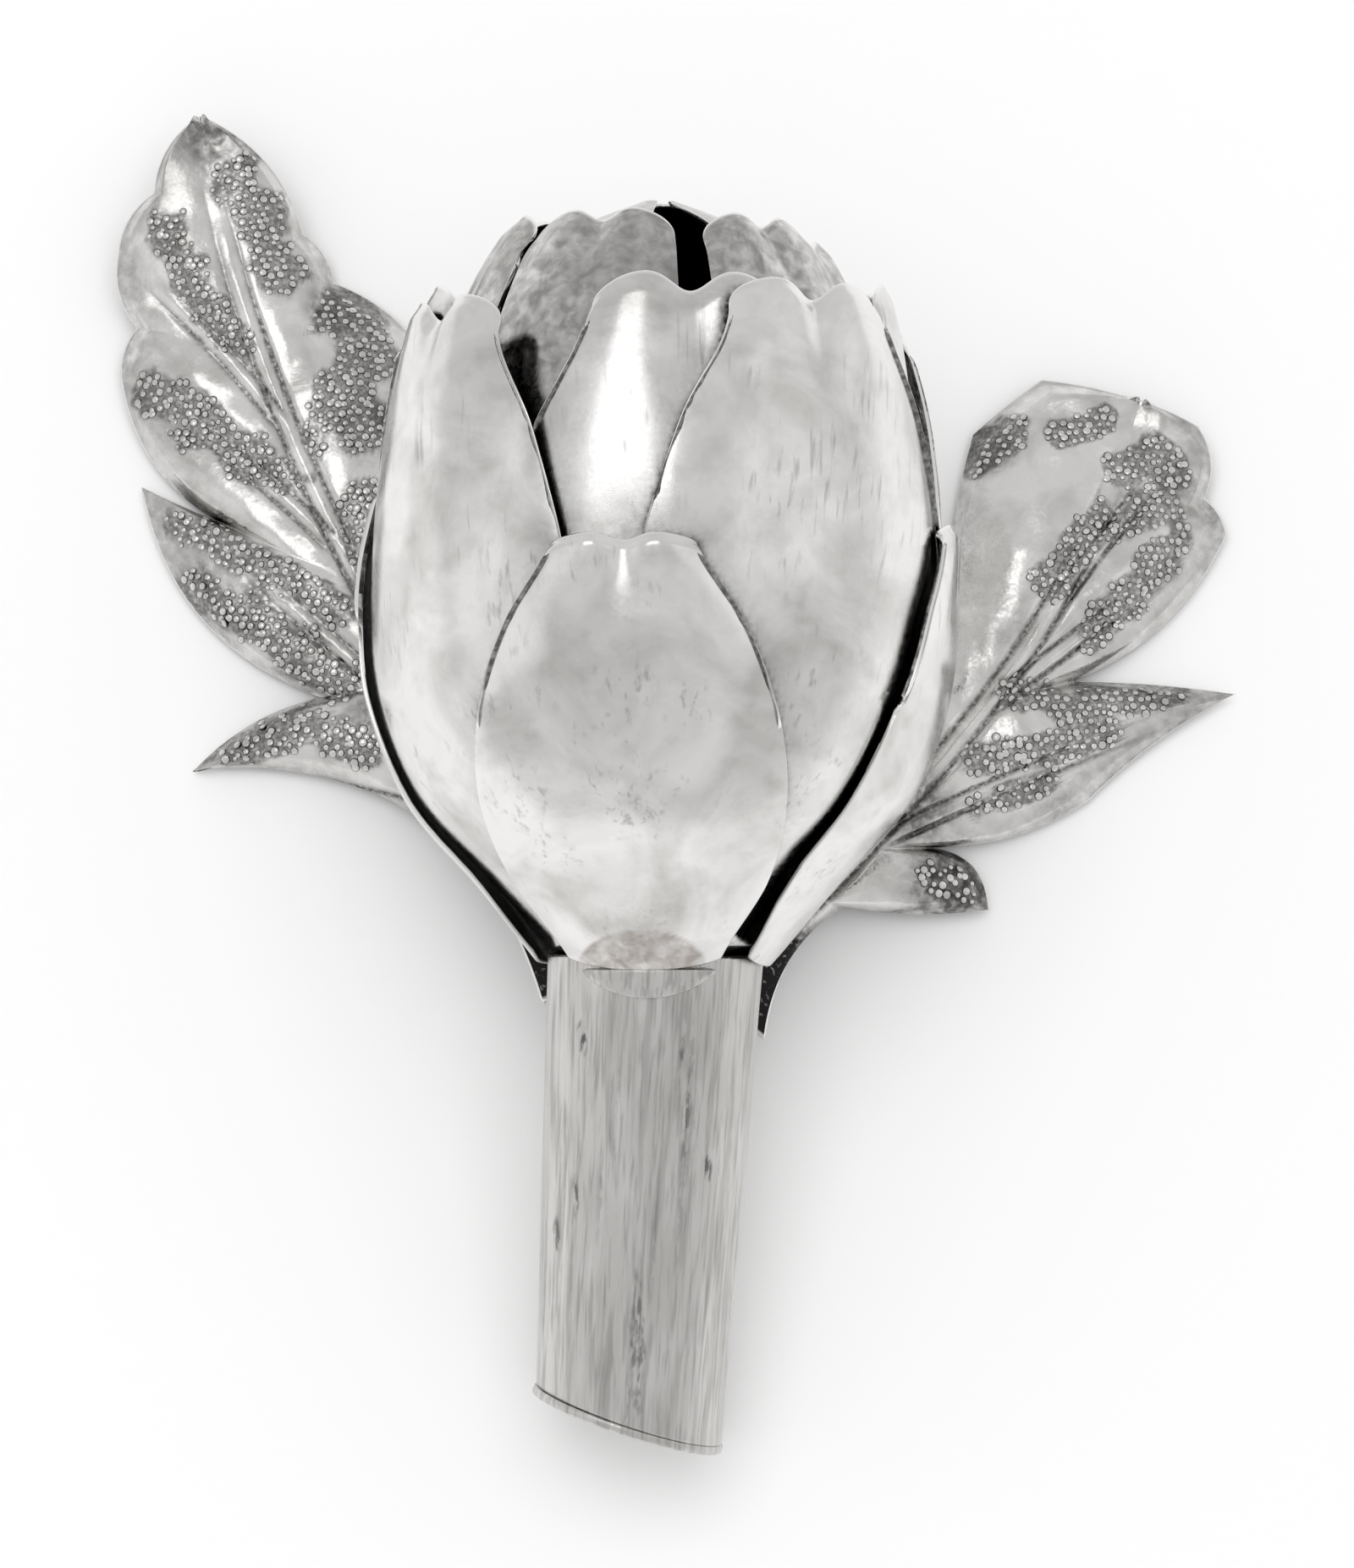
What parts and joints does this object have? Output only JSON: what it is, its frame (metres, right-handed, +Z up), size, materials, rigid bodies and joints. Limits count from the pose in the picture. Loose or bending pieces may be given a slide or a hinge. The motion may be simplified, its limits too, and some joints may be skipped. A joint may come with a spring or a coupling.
{
  "type": "artichoke ornament",
  "caption": "Hollow silver artichoke table ornament: a tapered stem with a slanted end, overlapping heart-tipped bracts in whorls, and two lobed leaves chased with rings.",
  "frame": {"origin": "middle of the bounding box's base, on the table that the ornament lies on", "axes": "+Y from the stem end towards the crown, +X to the right as the front bract is looked at with the crown up, +Z up from the table, out of the ornament's front"},
  "size_m": [0.1848, 0.2238, 0.0959],
  "materials": {
    "polished_silver": "hand-polished sterling silver sheet, softly tarnished, with fine scratches and bright rims",
    "chased_silver": "polished sterling silver with raised veins and bands of punched rings in dark oxide",
    "satin_silver": "satin sterling silver, scored lengthwise like bark, with dark pits and brown tarnish",
    "oxidised_silver": "unpolished, dark oxidised sterling silver"
  },
  "bodies": {
    "root": {"stem_tube": "satin_silver", "stem_end_plate": "satin_silver", "receptacle": "satin_silver", "inner_bud": "oxidised_silver", "solder_fillet": "satin_silver", "outer_bract_front": "polished_silver", "outer_bract_right": "polished_silver", "outer_bract_back": "polished_silver", "outer_bract_left": "polished_silver", "second_bract_front_right": "polished_silver", "second_bract_back_right": "polished_silver", "second_bract_back_left": "polished_silver", "second_bract_front_left": "polished_silver", "third_bract_front": "polished_silver", "third_bract_right": "polished_silver", "third_bract_back": "polished_silver", "third_bract_left": "polished_silver", "fourth_bract_front_left": "polished_silver", "fourth_bract_front_right": "polished_silver", "fourth_bract_right": "polished_silver", "fourth_bract_back_right": "polished_silver", "fourth_bract_back_left": "polished_silver", "fourth_bract_left": "polished_silver", "crown_bract_left": "polished_silver", "crown_bract_right": "polished_silver", "crown_bract_back": "polished_silver", "left_leaf": "chased_silver", "right_leaf": "chased_silver"}
  },
  "joints": []
}
